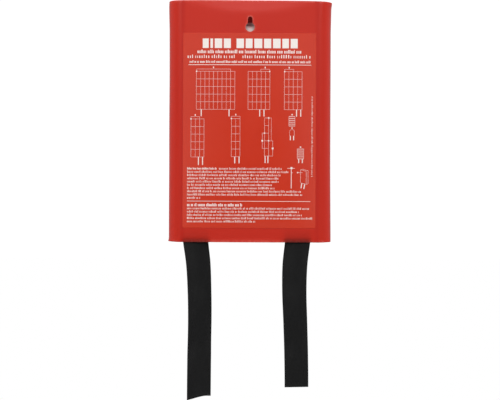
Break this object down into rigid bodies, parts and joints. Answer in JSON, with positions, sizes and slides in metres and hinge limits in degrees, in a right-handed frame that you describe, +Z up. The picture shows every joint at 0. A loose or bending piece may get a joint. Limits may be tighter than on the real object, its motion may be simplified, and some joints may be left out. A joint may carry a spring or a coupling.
{
  "type": "fire blanket",
  "caption": "Folded glass-fibre fire blanket in a flat red plastic wall sleeve with a keyhole, a plain instruction label and black webbing pull tapes that hang below it.",
  "frame": {"origin": "centre of the round part of the rear keyhole, on the sleeve's flat back face, which lies against the wall", "axes": "+Z up along the sleeve, +X to the right seen from the front, +Y out of the back towards the wall; the front faces -Y"},
  "size_m": [0.163, 0.0271, 0.3999],
  "materials": {
    "sleeve_pvc": "satin",
    "label_vinyl": "satin",
    "glass_cloth": "matte",
    "hem_thread": "matte",
    "tape_webbing": "matte",
    "tape_thread": "satin"
  },
  "bodies": {
    "case": {"case_sleeve": "sleeve_pvc", "instruction_label": "label_vinyl"},
    "blanket": {"folded_blanket": "glass_cloth", "hem_stitching": "hem_thread", "left_tape_sewn_end": "tape_webbing", "right_tape_sewn_end": "tape_webbing", "left_tape_stitching": "tape_thread", "right_tape_stitching": "tape_thread"},
    "left_tape": {"left_tape_tail": "tape_webbing"},
    "right_tape": {"right_tape_tail": "tape_webbing"}
  },
  "joints": [
    {"name": "blanket_pull", "type": "slide", "parent": "case", "child": "blanket", "axis": [0, 0, -1], "range_m": [0, 0.225]},
    {"name": "left_tape_swing", "type": "hinge", "parent": "blanket", "child": "left_tape", "pos_m": [-0.05358, -0.0247, -0.21635], "axis": [-1, 0, 0], "range_deg": [-8, 80]},
    {"name": "right_tape_swing", "type": "hinge", "parent": "blanket", "child": "right_tape", "pos_m": [0.04839, -0.0247, -0.21635], "axis": [-1, 0, 0], "range_deg": [-8, 80]}
  ]
}
